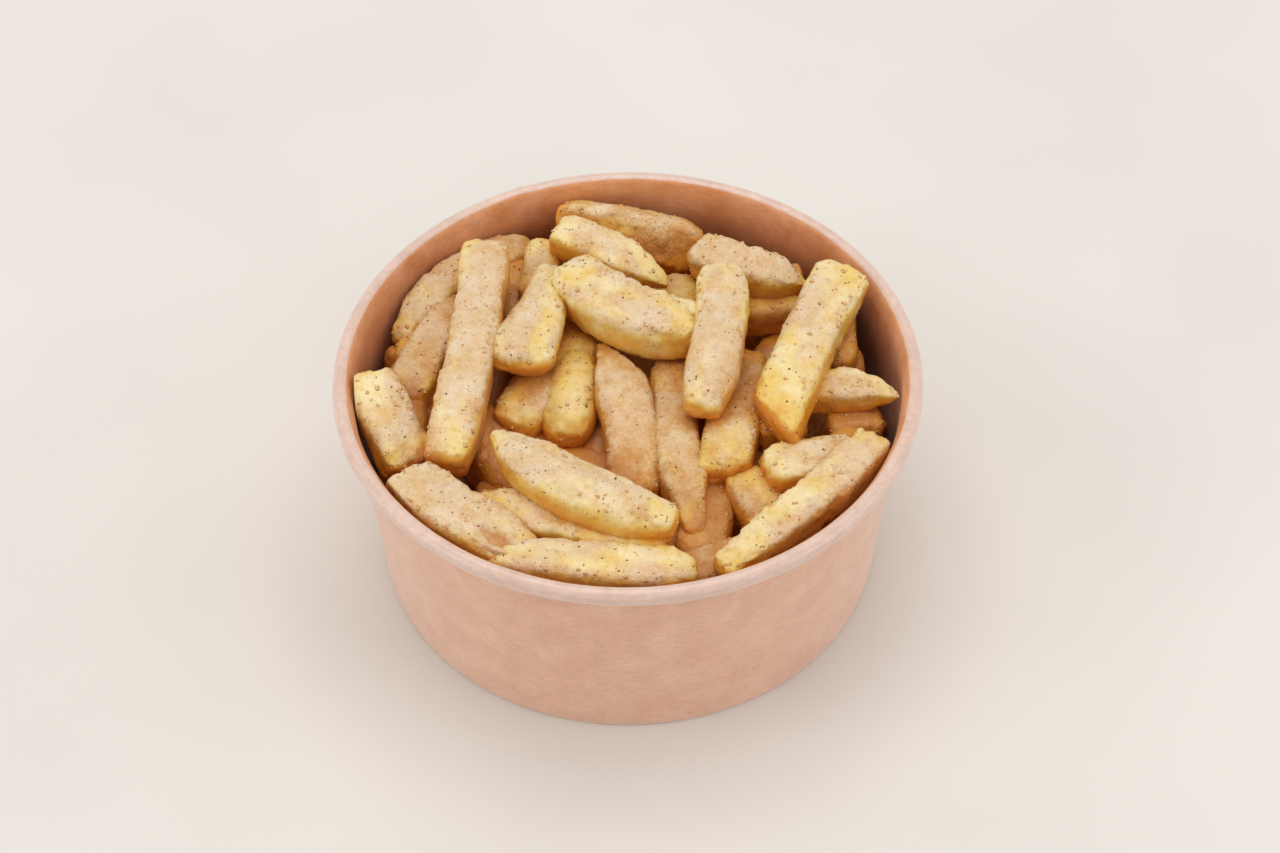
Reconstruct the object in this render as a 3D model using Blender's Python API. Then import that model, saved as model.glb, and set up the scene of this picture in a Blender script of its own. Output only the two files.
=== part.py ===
"""A round kraft paperboard bowl, filled to its rolled rim with thick seasoned potato fries.

The origin is under the middle of the bowl, on the plane of its foot, and +Z is up. Sizes are named
in millimetres and turned to metres by MM where a mesh is made. Two objects are made: the bowl, which
is one turned board shell with its rolled rim and recessed base, and the heap of fries in it, which
is a turned core with every fry that shows fused on.
"""

import math
from dataclasses import dataclass

import bmesh
import bpy
from mathutils import Vector

MM = 0.001

# The bowl
RIM_RADIUS = 75.0  # outside of the rolled rim
BOWL_HEIGHT = 63.0
FOOT_RADIUS = 65.0  # outside of the wall on the table
WALL_TOP_RADIUS = 70.3  # outside of the wall, just under the rim
BOARD = 0.6  # thickness of the paperboard
RIM_WIDE = 4.4  # the rolled rim, across
RIM_HIGH = 4.5
BASE_RISE = 5.4  # the base disc is set up into the wall by this much
FOOT_THICK = 1.4  # wall, and the turned-down edge of the base disc, folded together
FOOT_ROUND = 0.3
TURN_STEPS = 72  # facets round the bowl

# The heap
WALL_GAP = 0.5  # fries that lean on the bowl stop this far short of it
CORE_GAP = 0.4
CORE_SHOULDER = 36.0  # height at which the core leaves the wall
CORE_CROWN = 47.0  # height of the core's middle
CORE_STEPS = 32

# A ring of fries under those that show, lying along the wall
RING_ANGLES = (58, 88, 118, 150, 178, 206, 232, 258, 284, 310, 334)
RING_RADIUS = 56.0
RING_HEIGHT = 46.5
RING_LENGTH = 34.0
RING_TILT = 2.0  # one end of each lies on the end of the next

# A fry is a chamfered bar with this many corners, swept through rings at these shares of its length
FRY_CORNER = 0.42
END_ROUNDING = 0.82
FRY_RINGS = (0.0, 0.06, 0.3, 0.55, 0.8, 0.94, 1.0)

BOARD_COLOUR = (0.62, 0.42, 0.31, 1.0)
FRY_COLOUR = (0.80, 0.57, 0.28, 1.0)


@dataclass
class Fry:
    """One cut potato stick, from the middle of one end to the middle of the other, in millimetres."""

    start: tuple
    end: tuple
    wide: float = 12.0
    deep: float = 11.0
    bow: float = 0.0  # sideways bend at its middle, to the left of its run
    arch: float = 0.5  # upward bend at its middle
    roll: float = 0.0  # turn about its run, in degrees
    ends: tuple = (0.7, 0.7)  # sizes of the two ends, as shares of the middle
    reach: tuple = (0.2, 0.2)  # how far in from each end it narrows, as shares of the length
    taper: float = 0.0  # how much wider it is at its end than at its start
    skew: tuple = (0.0, 0.0)  # how far the cut at each end runs ahead on the left


# The fries that show, round the bowl from the left
LEFT_FRIES = (
    Fry((-67, 2, 58), (-54, -24, 51), 13.5, 11, arch=1, ends=(0.95, 0.8), reach=(0.1, 0.2), skew=(4, 0)),
    Fry((-56, -32, 57), (-23, -55.5, 54.5), 15.5, 11.5, bow=-2, arch=1.5, ends=(0.95, 0.5),
        reach=(0.1, 0.3), skew=(2.5, 0)),
    Fry((-42, 34, 53), (-58, 0, 49), 13, 11, bow=-1, ends=(0.5, 0.7), reach=(0.3, 0.2)),
    Fry((-47, 34, 43), (-50, -3, 42), 11, 11),
    Fry((-61, 18, 45), (-55, 30, 40), 9, 9),
    Fry((-37, 43, 64), (-45.5, -28.5, 58), 13, 12, bow=1.5, arch=1, ends=(0.85, 0.8), reach=(0.15, 0.2)),
    Fry((-42, 0, 46), (-26, -26, 44), 14, 11),
)
BACK_FRIES = (
    Fry((-60, 22, 50), (-25, 58, 48), 11.5, 10, bow=4.5, arch=3, ends=(0.35, 0.7), reach=(0.35, 0.2)),
    Fry((-21.5, 53, 56), (-24, 34, 52), 10.5, 10),
    Fry((-31, 52, 49), (-29, 30, 47), 11, 10),
    Fry((-19, 63, 54), (20, 55, 51), 15, 10, bow=-1.5, arch=2, roll=58),
    Fry((-19, 51, 62), (11, 34, 59), 12, 9.5, arch=1, ends=(0.9, 0.15), reach=(0.12, 0.45)),
    Fry((18, 47, 59), (48, 35, 58), 12.5, 11, bow=-3, arch=1, ends=(0.8, 0.1), reach=(0.15, 0.4)),
    Fry((-4, 38, 50), (20, 37, 50), 12, 11),
    Fry((31, 40, 53), (46, 41, 51), 11, 11),
    Fry((29, 30, 52), (46, 33, 51), 11, 11),
)
MIDDLE_FRIES = (
    Fry((-20.5, 40, 58), (-29.5, 2, 61.5), 14.5, 10, bow=2, arch=1, roll=-15, ends=(0.8, 0.5),
        taper=0.34, reach=(0.2, 0.2), skew=(0, -5)),
    Fry((-30.5, -9, 49.5), (-10, 25, 49.5), 14, 11),
    Fry((-11, 20, 51.5), (-15.3, -13, 49.5), 15.5, 12, bow=-1.5, ends=(0.3, 0.55), reach=(0.5, 0.25)),
    Fry((-7.5, 16, 56), (1.5, -32, 49), 14.5, 12, bow=3, ends=(0.15, 0.7), reach=(0.45, 0.2)),
    Fry((-15.5, 37, 61), (19, 14, 62), 15.5, 13.5, bow=-5.5, ends=(0.8, 0.75), reach=(0.15, 0.25)),
    Fry((13, 17, 50), (17, -45, 49), 12.5, 11, bow=-3, arch=2.5, ends=(0.6, 0.35), reach=(0.2, 0.35)),
    Fry((5, 21, 44), (4, 9, 42), 10, 10),
    Fry((24.5, 33, 65), (18, -14.5, 61.5), 14, 11.5, bow=2, arch=2.5, ends=(0.7, 0.6), reach=(0.2, 0.3)),
    Fry((30, 14, 52), (23, -28, 52), 14, 11.5, bow=1, arch=1, ends=(0.7, 0.85), reach=(0.2, 0.1),
        skew=(0, -4)),
    Fry((-9, 8, 38), (-11, -15, 38), 12, 11),
)
RIGHT_FRIES = (
    Fry((56.5, 34, 62), (36.5, -17, 59), 14.5, 11.5, bow=-1, arch=1, ends=(0.95, 0.9),
        reach=(0.08, 0.12), skew=(0, 10)),
    Fry((40, -1, 54), (69, -4.5, 57), 11, 9, bow=1.5, ends=(0.9, 0.15), reach=(0.1, 0.5)),
    Fry((54, 37, 52.5), (54, 11, 49), 12, 11, arch=1),
    Fry((31.5, -10, 50.5), (45, -8, 50.5), 12, 11),
    Fry((50.5, -7.5, 47.5), (65, -6, 48), 11, 10, ends=(0.7, 0.8)),
    Fry((44, 13, 36), (48, -5, 36), 12, 11),
    Fry((62, -20, 55.5), (22, -60.5, 55), 11.5, 10.5, bow=2, arch=1, ends=(1.0, 0.6), reach=(0.08, 0.4)),
    Fry((33.5, -28, 54), (57, -22.5, 53), 13, 10.5, ends=(0.75, 0.9)),
)
FRONT_FRIES = (
    Fry((28, -25, 49), (36, -42, 47), 11.5, 10.5, arch=1, ends=(0.65, 0.9)),
    Fry((23, -21, 44), (17, -51, 46), 12.5, 11),
    Fry((-33.5, -19.5, 61), (12, -50, 61), 15.5, 13, bow=-6, arch=1, ends=(0.15, 0.5), reach=(0.35, 0.3)),
    Fry((-38, -38, 54.5), (10, -53.5, 54.5), 11, 10, bow=-1, ends=(0.6, 0.7)),
    Fry((-34, -55, 54), (17, -60, 54), 12, 11, bow=-2, arch=1, ends=(0.7, 0.5), reach=(0.2, 0.15)),
    Fry((-36, -16, 37), (-18, -23, 37), 11, 10),
)


def ring_fries():
    """The fries under the others, each along the wall with one end a little higher."""
    made = []
    for degrees in RING_ANGLES:
        turn = math.radians(degrees)
        middle = Vector((math.cos(turn), math.sin(turn), 0)) * RING_RADIUS
        half = Vector((-math.sin(turn), math.cos(turn), 0)) * RING_LENGTH / 2
        low, high = middle - half, middle + half
        low.z, high.z = RING_HEIGHT - RING_TILT, RING_HEIGHT + RING_TILT
        made.append(Fry(tuple(low), tuple(high), bow=-1.5))
    return tuple(made)


def all_fries():
    """Every fry of the heap, the hidden ring first."""
    return ring_fries() + LEFT_FRIES + BACK_FRIES + MIDDLE_FRIES + RIGHT_FRIES + FRONT_FRIES


def clear_scene():
    """Remove what the open file holds."""
    for item in list(bpy.data.objects):
        bpy.data.objects.remove(item, do_unlink=True)


def material(name, colour, roughness):
    """A Principled material with one colour."""
    made = bpy.data.materials.new(name)
    made.use_nodes = True
    shader = made.node_tree.nodes["Principled BSDF"]
    shader.inputs["Base Color"].default_value = colour
    shader.inputs["Roughness"].default_value = roughness
    shader.inputs["Metallic"].default_value = 0.0
    made.diffuse_color = colour
    return made


def wall_radius(height):
    """Outside radius of the bowl's straight wall at a height, in millimetres."""
    return FOOT_RADIUS + (WALL_TOP_RADIUS - FOOT_RADIUS) * height / (BOWL_HEIGHT - RIM_HIGH)


def arc(middle, across, up, start, end, steps):
    """Points on an ellipse about (radius, height), from one angle to another in degrees."""
    turns = [math.radians(start + (end - start) * i / steps) for i in range(steps + 1)]
    return [(middle[0] + across * math.cos(t), middle[1] + up * math.sin(t)) for t in turns]


def bowl_outline():
    """The bowl's section as (radius, height): outer wall, rolled rim, inner wall, base, foot."""
    rim_middle = (RIM_RADIUS - RIM_WIDE / 2, BOWL_HEIGHT - RIM_HIGH / 2)
    rim = arc(rim_middle, RIM_WIDE / 2, RIM_HIGH / 2, -140, 150, 14)
    join = BOWL_HEIGHT - RIM_HIGH / 2 - 1.0
    floor = BASE_RISE + BOARD
    foot_inner = FOOT_RADIUS - FOOT_THICK
    return [
        (FOOT_RADIUS - FOOT_ROUND, 0.0),
        (FOOT_RADIUS, FOOT_ROUND),
        *[(wall_radius(height), height) for height in (BASE_RISE, 20.0, 40.0, join - 0.6)],
        *rim,
        *[(wall_radius(height) - BOARD, height) for height in (join, 40.0, 20.0)],
        (wall_radius(floor) - BOARD, floor),
        (0.0, floor),
        (0.0, BASE_RISE),
        (wall_radius(BASE_RISE) - FOOT_THICK, BASE_RISE),
        (foot_inner, FOOT_ROUND),
        (foot_inner + FOOT_ROUND, 0.0),
    ]


def turned(name, outline, steps):
    """A closed outline of (radius, height) spun about the upright axis into one closed body."""
    work = bmesh.new()
    points = [work.verts.new((radius * MM, 0.0, height * MM)) for radius, height in outline]
    edges = [work.edges.new((points[i], points[(i + 1) % len(points)])) for i in range(len(points))]
    bmesh.ops.spin(
        work,
        geom=points + edges,
        cent=(0, 0, 0),
        axis=(0, 0, 1),
        angle=2 * math.pi,
        steps=steps,
        use_merge=True,
    )
    bmesh.ops.remove_doubles(work, verts=work.verts, dist=1e-6)
    flat = [face for face in work.faces if face.calc_area() < 1e-12]
    bmesh.ops.delete(work, geom=flat, context="FACES")
    bmesh.ops.recalc_face_normals(work, faces=work.faces)
    return placed(name, work)


def placed(name, work):
    """Turn a bmesh into an object in the scene."""
    mesh = bpy.data.meshes.new(name)
    work.to_mesh(mesh)
    work.free()
    made = bpy.data.objects.new(name, mesh)
    bpy.context.scene.collection.objects.link(made)
    return made


def core_outline():
    """The core's section: it fills the bowl up to a shoulder, then crowns towards the middle."""
    floor = BASE_RISE + BOARD + CORE_GAP
    inside = BOARD + CORE_GAP
    return [
        (0.0, floor),
        (wall_radius(floor) - inside - 2.0, floor),
        (wall_radius(floor + 2.0) - inside, floor + 2.0),
        (wall_radius(CORE_SHOULDER) - inside, CORE_SHOULDER),
        (60.0, CORE_SHOULDER + 5.0),
        (50.0, CORE_CROWN - 2.0),
        (30.0, CORE_CROWN),
        (0.0, CORE_CROWN),
    ]


def section_shares():
    """The eight corners of a chamfered bar, as shares of its half width and half depth."""
    inner = 1.0 - FRY_CORNER
    quarter = ((1.0, inner), (inner, 1.0))
    right = [(x, y) for x, y in quarter]
    left = [(-x, y) for x, y in reversed(quarter)]
    return right + left + [(-x, -y) for x, y in right] + [(x, -y) for x, y in reversed(quarter)]


def ring_size(share, fry):
    """How much of a fry's full section a ring has: it narrows towards each end."""
    size = 1.0 if 0.0 < share < 1.0 else END_ROUNDING
    for near, end_size, reach in zip((share, 1.0 - share), fry.ends, fry.reach):
        inward = min(1.0, near / reach)
        size *= end_size + (1.0 - end_size) * math.sin(inward * math.pi / 2)
    return size


def kept_inside(point):
    """Press a point that would cross the bowl's wall back against it."""
    limit = wall_radius(min(point.z, BOWL_HEIGHT - RIM_HIGH)) - BOARD - WALL_GAP
    reach = math.hypot(point.x, point.y)
    if reach > limit:
        point = Vector((point.x * limit / reach, point.y * limit / reach, point.z))
    return point


def fry_bar(name, fry):
    """One fry as a closed bar with a chamfered section, bent along its length."""
    start, end = Vector(fry.start), Vector(fry.end)
    run = (end - start).normalized()
    left = Vector((0, 0, 1)).cross(run).normalized()
    up = run.cross(left)
    roll = math.radians(fry.roll)
    across = left * math.cos(roll) + up * math.sin(roll)
    top = up * math.cos(roll) - left * math.sin(roll)
    work = bmesh.new()
    rings = []
    for share in FRY_RINGS:
        bend = 4.0 * share * (1.0 - share)
        middle = start.lerp(end, share) + left * fry.bow * bend + up * fry.arch * bend
        size = ring_size(share, fry)
        wide = fry.wide * size * (1.0 + fry.taper * (2.0 * share - 1.0)) / 2
        ahead = max(0.0, 1.0 - share * 4) * fry.skew[0] + max(0.0, share * 4 - 3) * fry.skew[1]
        corners = [
            middle + across * x * wide + top * y * fry.deep * size / 2 + run * x * ahead / 2
            for x, y in section_shares()
        ]
        rings.append([work.verts.new(kept_inside(corner) * MM) for corner in corners])
    for ring, following in zip(rings, rings[1:]):
        for i, corner in enumerate(ring):
            j = (i + 1) % len(ring)
            work.faces.new((corner, ring[j], following[j], following[i]))
    work.faces.new(reversed(rings[0]))
    work.faces.new(rings[-1])
    bmesh.ops.triangulate(work, faces=work.faces)
    bmesh.ops.recalc_face_normals(work, faces=work.faces)
    return placed(name, work)


def joined_body(core, pieces):
    """Fuse the pieces to the core in one union, and remove them from the scene."""
    group = bpy.data.collections.new("fries_to_fuse")
    for piece in pieces:
        group.objects.link(piece)
    union = core.modifiers.new("fuse", "BOOLEAN")
    union.operation = "UNION"
    union.operand_type = "COLLECTION"
    union.collection = group
    union.solver = "MANIFOLD"
    evaluated = core.evaluated_get(bpy.context.evaluated_depsgraph_get())
    fused = bpy.data.meshes.new_from_object(evaluated)
    core.modifiers.remove(union)
    core.data = fused
    for piece in pieces:
        bpy.data.objects.remove(piece, do_unlink=True)
    bpy.data.collections.remove(group)


def shells(work):
    """The separate surfaces of a bmesh, each as a list of its faces."""
    waiting = set(work.faces)
    found = []
    while waiting:
        edge_of = [waiting.pop()]
        shell = list(edge_of)
        while edge_of:
            for edge in edge_of.pop().edges:
                for face in edge.link_faces:
                    if face in waiting:
                        waiting.remove(face)
                        edge_of.append(face)
                        shell.append(face)
        found.append(shell)
    return found


def keep_outside(body):
    """Keep the largest surface alone, which fills sealed hollows and drops loose scraps."""
    work = bmesh.new()
    work.from_mesh(body.data)
    bmesh.ops.remove_doubles(work, verts=work.verts, dist=2e-6)
    found = sorted(shells(work), key=len)
    for shell in found[:-1]:
        bmesh.ops.delete(work, geom=shell, context="FACES")
    loose = [point for point in work.verts if not point.link_faces]
    bmesh.ops.delete(work, geom=loose, context="VERTS")
    bmesh.ops.triangulate(work, faces=work.faces)
    work.to_mesh(body.data)
    work.free()


def make_bowl():
    """The board bowl, smooth round its turn."""
    bowl = turned("bowl", bowl_outline(), TURN_STEPS)
    for face in bowl.data.polygons:
        face.use_smooth = True
    bowl.data.materials.append(material("kraft_board", BOARD_COLOUR, 0.75))
    return bowl


def make_fries():
    """The heap: the core and every fry that shows, fused into one body."""
    heap = turned("fries", core_outline(), CORE_STEPS)
    bars = [fry_bar(f"fry_{i:02d}", fry) for i, fry in enumerate(all_fries())]
    joined_body(heap, bars)
    keep_outside(heap)
    heap.data.materials.clear()
    heap.data.materials.append(material("fried_potato", FRY_COLOUR, 0.6))
    return heap


def main():
    clear_scene()
    make_bowl()
    make_fries()


main()
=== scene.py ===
"""Thick seasoned potato fries heaped in a round kraft paperboard bowl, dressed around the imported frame."""

import logging
import math
from dataclasses import dataclass, field
from enum import Enum
from typing import Any, Optional, Sequence

import bpy
import numpy as np
from mathutils import Matrix, Vector


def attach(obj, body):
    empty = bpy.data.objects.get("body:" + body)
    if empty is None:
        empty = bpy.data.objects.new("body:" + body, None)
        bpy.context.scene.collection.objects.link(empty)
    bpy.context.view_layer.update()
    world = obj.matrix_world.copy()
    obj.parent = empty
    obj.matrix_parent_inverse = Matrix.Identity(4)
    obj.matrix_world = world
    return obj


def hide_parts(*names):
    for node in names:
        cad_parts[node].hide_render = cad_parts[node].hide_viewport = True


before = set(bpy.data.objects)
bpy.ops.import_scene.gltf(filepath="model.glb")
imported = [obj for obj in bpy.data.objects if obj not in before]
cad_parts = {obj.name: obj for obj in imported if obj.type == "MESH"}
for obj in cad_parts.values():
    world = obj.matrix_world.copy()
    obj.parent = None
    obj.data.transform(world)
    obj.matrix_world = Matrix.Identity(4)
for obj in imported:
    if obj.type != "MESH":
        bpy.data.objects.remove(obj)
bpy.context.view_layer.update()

MM = 0.001
BODY = "root"
LOG = logging.getLogger("fries")
Socket = bpy.types.NodeSocket
Point = tuple[float, float, float]


# Colours and shader nodes


def linear(hex_colour: str) -> tuple[float, float, float, float]:
    """Turn an sRGB hex colour to a linear one.

    Args:
        hex_colour: Six hex digits after a hash sign.

    Returns:
        Linear red, green, blue and an alpha of one.
    """
    parts = [int(hex_colour[i : i + 2], 16) / 255 for i in (1, 3, 5)]
    red, green, blue = (c / 12.92 if c <= 0.04045 else ((c + 0.055) / 1.055) ** 2.4 for c in parts)
    return red, green, blue, 1.0


def add_node(
    tree: bpy.types.NodeTree,
    kind: str,
    inputs: Optional[dict[Any, Any]] = None,
    stops: Sequence[tuple[float, str]] = (),
    **settings: Any,
) -> bpy.types.Node:
    """Add a shader node with its settings, and set or link its inputs.

    Args:
        tree: The material's node tree.
        kind: The node's type, without its ShaderNode prefix.
        inputs: Socket name or number to a value, or to the output socket that feeds it.
        stops: Places and hex colours of a colour ramp.
        **settings: The node's own properties.

    Returns:
        The node.
    """
    node = tree.nodes.new("ShaderNode" + kind)
    for name, value in settings.items():
        setattr(node, name, value)
    for socket, value in (inputs or {}).items():
        if isinstance(value, bpy.types.NodeSocket):
            tree.links.new(value, node.inputs[socket])
        else:
            node.inputs[socket].default_value = value
    for i, (place, colour) in enumerate(stops):
        stop = node.color_ramp.elements[i] if i < 2 else node.color_ramp.elements.new(place)
        stop.position = place
        stop.color = linear(colour)
    return node


class Graph:
    """The nodes of one material, whose patterns are measured in millimetres."""

    def __init__(self, name: str) -> None:
        """Start the material.

        Args:
            name: Its name.
        """
        self.material = bpy.data.materials.new(name)
        self.material.use_nodes = True
        self.tree = self.material.node_tree
        self.tree.nodes.clear()
        self.place = self.scaled(add_node(self.tree, "TexCoord").outputs["Object"], 1.0 / MM)

    def scaled(self, vector: Socket, factor: Any) -> Socket:
        """Multiply a vector or a colour by a number."""
        inputs = {0: vector, "Scale": factor}
        return add_node(self.tree, "VectorMath", inputs, operation="SCALE").outputs[0]

    def noise(self, size_mm: float, detail: float, roughness: float = 0.5, **inputs: Any) -> Socket:
        """Noise from 0 to 1.

        Args:
            size_mm: Width of its largest features.
            detail: Octaves of finer features.
            roughness: How strong the finer ones are.
            **inputs: Other inputs of the node.

        Returns:
            The noise.
        """
        given = {"Vector": self.place, "Scale": 1 / size_mm, "Detail": detail, "Roughness": roughness}
        return add_node(self.tree, "TexNoise", given | inputs).outputs["Fac"]

    def mapped(self, value: Socket, low: float, high: float, to: Sequence[float] = (0.0, 1.0)) -> Socket:
        """Move a value from the range low to high into another range, and keep it there."""
        return add_node(self.tree, "MapRange", dict(enumerate((value, low, high, *to)))).outputs[0]

    def maths(self, operation: str, *values: Any) -> Socket:
        """Combine numbers by a named operation."""
        return add_node(self.tree, "Math", dict(enumerate(values)), operation=operation).outputs[0]

    def blend(self, share: Socket, first: Any, second: Any) -> Socket:
        """Mix two colours by the share of the second."""
        return add_node(self.tree, "Mix", {0: share, 6: first, 7: second}, data_type="RGBA").outputs[2]

    def ramp(self, value: Socket, *stops: tuple[float, str]) -> Socket:
        """Turn a value to a colour between stops."""
        return add_node(self.tree, "ValToRGB", {"Fac": value}, stops=stops).outputs["Color"]

    def bump(self, height: Socket, relief_mm: float, strength: float = 1.0) -> Socket:
        """Tilt the surface as a relief of that many millimetres would, whose height runs from 0 to 1."""
        inputs = {"Height": height, "Distance": relief_mm * MM, "Strength": strength}
        return add_node(self.tree, "Bump", inputs).outputs[0]

    def finished(self, inputs: dict[str, Any]) -> bpy.types.Material:
        """Close the graph with its surface.

        Args:
            inputs: Inputs of the surface shader.

        Returns:
            The material.
        """
        shader = add_node(self.tree, "BsdfPrincipled", inputs)
        add_node(self.tree, "OutputMaterial", {"Surface": shader.outputs[0]})
        return self.material


# Mesh building


@dataclass
class Solid:
    """A mesh as arrays, in millimetres, with named values at its vertices."""

    points: np.ndarray
    quads: np.ndarray  # a triangle has -1 as its last corner
    values: dict[str, np.ndarray] = field(default_factory=dict)
    slots: Optional[np.ndarray] = None

    def object(self, name: str, materials: Sequence[bpy.types.Material]) -> bpy.types.Object:
        """Make the Blender object.

        Args:
            name: The piece's name.
            materials: Its materials, in slot order.

        Returns:
            The smooth-shaded object, linked to the scene.
        """
        mesh = bpy.data.meshes.new(name)
        faces = [[corner for corner in quad if corner >= 0] for quad in self.quads.tolist()]
        mesh.from_pydata((self.points * MM).tolist(), [], faces, shade_flat=False)
        if self.slots is not None:
            mesh.polygons.foreach_set("material_index", self.slots.astype(np.int32))
        for key, value in self.values.items():
            mesh.attributes.new(key, "FLOAT", "POINT").data.foreach_set("value", value.astype(np.float32))
        mesh.validate()
        for material in materials:
            mesh.materials.append(material)
        made = bpy.data.objects.new(name, mesh)
        bpy.context.scene.collection.objects.link(made)
        return made


def grid_faces(rows: int, columns: int, closed: bool = False) -> np.ndarray:
    """Quads between rows of points, each of which closes round.

    Args:
        rows: How many rows.
        columns: How many points each row has.
        closed: Whether the last row also meets the first.

    Returns:
        The numbers of each quad's points, as rows of four.
    """
    row, column = np.meshgrid(np.arange(rows if closed else rows - 1), np.arange(columns), indexing="ij")
    here, after, beside = row * columns, (row + 1) % rows * columns, (column + 1) % columns
    return np.stack([here + column, here + beside, after + beside, after + column], -1).reshape(-1, 4)


def turned(line: np.ndarray, steps: int) -> np.ndarray:
    """Turn a line of (radius, height) points about the upright axis.

    Args:
        line: The points, as rows of two.
        steps: How many times the line is set down round the axis.

    Returns:
        Points by step, by place on the line, by axis.
    """
    turn = np.arange(steps)[:, None] * 2 * math.pi / steps
    radius, height = line.T
    return np.stack([np.cos(turn) * radius, np.sin(turn) * radius, np.ones_like(turn) * height], axis=-1)


def joined(solids: Sequence[Solid]) -> Solid:
    """Put several meshes in one.

    Args:
        solids: Meshes with the same named values.

    Returns:
        One mesh that holds them all.
    """
    quads, before = [], 0
    for solid in solids:
        quads.append(np.where(solid.quads < 0, -1, solid.quads + before))
        before += len(solid.points)
    values = {key: np.concatenate([s.values[key] for s in solids]) for key in solids[0].values}
    return Solid(np.concatenate([s.points for s in solids]), np.concatenate(quads), values)


def dressed(piece: bpy.types.Object, node: str) -> bpy.types.Object:
    """Tie a piece to the frame.

    Args:
        piece: The piece, which rides on the part.
        node: The node that it stands for.

    Returns:
        The piece.
    """
    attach(piece, BODY)
    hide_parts(node)
    LOG.info("%s: %d faces", piece.name, len(piece.data.polygons))
    return piece


class Noise:
    """Smooth seeded noise in space, from random values on a repeating lattice."""

    CELLS = 64
    TURN = np.array([[0.36, 0.48, -0.8], [-0.8, 0.6, 0.0], [0.48, 0.64, 0.6]])
    SHIFT = 7.3  # with the turn, keeps the lattices of the octaves apart
    GAIN = 1.2  # brings the sum to about -1 to 1

    def __init__(self, seed: int) -> None:
        """Draw the lattice.

        Args:
            seed: The seed of its random values.
        """
        self.values = np.random.default_rng(seed).uniform(-1, 1, (self.CELLS,) * 3)

    def at(self, points: np.ndarray) -> np.ndarray:
        """Noise from -1 to 1 with features one unit wide.

        Args:
            points: Places, as rows of three.

        Returns:
            One value for each place.
        """
        low = np.floor(points).astype(int)
        part = points - low
        part = part**3 * (part * (part * 6 - 15) + 10)
        total = np.zeros(len(points))
        for corner in np.ndindex(2, 2, 2):
            share = np.prod(np.where(corner, part, 1 - part), axis=1)
            x, y, z = ((low + corner) % self.CELLS).T
            total += share * self.values[x, y, z]
        return total

    def fractal(self, points: np.ndarray, size: float, octaves: int) -> np.ndarray:
        """Sum octaves of the noise.

        Args:
            points: Places in millimetres.
            size: Width of the largest features in millimetres.
            octaves: How many halvings of that width are summed.

        Returns:
            One value for each place, about -1 to 1.
        """
        place, total, weight = points / size, np.zeros(len(points)), 1.0
        for _ in range(octaves):
            total += weight * self.at(place)
            place, weight = place @ self.TURN * 2 + self.SHIFT, weight / 2
        return total * self.GAIN


def smoothstep(low: float, high: float, value: np.ndarray) -> np.ndarray:
    """Rise smoothly from 0 at low to 1 at high."""
    share = np.clip((value - low) / (high - low), 0, 1)
    return share * share * (3 - 2 * share)


# Finishes


@dataclass(frozen=True)
class KraftPaperboard:
    """Brown kraft board, pressed from long unbleached fibres and left uncoated.

    The felt of the paper machine leaves a cloudy formation with short darker and lighter fibres, and
    a dry matt face. The inside face of a food bowl has a thin film on it, which gives a faint sheen.
    """

    name: str
    light: str
    mid: str
    dark: str
    roughness: float
    cloud_mm: float = 9.0  # flocks of fibre in the sheet
    fibre_mm: float = 0.55  # fibre bundles, drawn as coarse as the render can show
    fibre_stretch: float = 5.0
    fleck_mm: float = 0.9  # darker bits of bark
    relief_mm: float = 0.03
    sheen: float = 0.1  # loose fibre ends on the face
    gloss: float = 0.35  # film on the face
    # Whether the lower wall is painted darker, as painted shade
    shaded_low: bool = False
    low_shade: str = "#8A4E28"
    low_shade_mm: tuple[float, float] = (50.0, 64.0)  # heights between which the painted shade fades out
    low_shade_lobe_mm: float = 14.0
    low_shade_drop_mm: float = 16.0  # how far its edge wanders down from those heights

    def material(self) -> bpy.types.Material:
        """Build the board's material."""
        graph = Graph(self.name)
        cloud = graph.noise(self.cloud_mm, 3.0, 0.6)
        tone = graph.ramp(cloud, (0.3, self.dark), (0.7, self.light), (0.5, self.mid))
        flat = 1 / self.fibre_stretch
        laid = add_node(graph.tree, "Mapping", {"Vector": graph.place, "Scale": (flat, flat, 1.0)})
        fibre = graph.noise(self.fibre_mm, 2.0, Vector=laid.outputs[0], Distortion=0.6)
        streak = graph.mapped(fibre, 0.35, 0.65, (0.93, 1.06))
        fleck = graph.noise(self.fleck_mm, 1.0)
        fleck_dark = graph.mapped(fleck, 0.66, 0.74, (1.0, 0.86))
        colour = graph.scaled(tone, graph.maths("MULTIPLY", streak, fleck_dark))
        if self.shaded_low:
            # Painted shade: the lower inside wall, beside the heap, is painted darker
            height = add_node(graph.tree, "SeparateXYZ", {0: graph.place}).outputs["Z"]
            ragged = graph.noise(self.low_shade_lobe_mm, 4.0)
            line = graph.maths("MULTIPLY_ADD", ragged, self.low_shade_drop_mm, height)
            low_shade_share = graph.mapped(line, *self.low_shade_mm, (1.0, 0.0))
            colour = graph.blend(low_shade_share, colour, linear(self.low_shade))
        inputs = {
            "Base Color": colour,
            "Roughness": graph.mapped(cloud, 0.3, 0.7, (self.roughness - 0.06, self.roughness + 0.06)),
            "IOR": 1.5,
            "Specular IOR Level": self.gloss,
            "Sheen Weight": self.sheen,
            "Sheen Roughness": 0.5,
            "Normal": graph.bump(graph.maths("ADD", fibre, fleck), self.relief_mm, 0.9),
        }
        return graph.finished(inputs)


@dataclass(frozen=True)
class Specks:
    """Fine ground spice in the crust: one speck, or none, in every cell of a pattern."""

    colour: str
    spacing_mm: float
    size: float  # radius of a speck, as a share of the spacing
    none: float  # share of the cells that have no speck
    strength: float  # how much the boldest specks hide the crust


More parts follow.
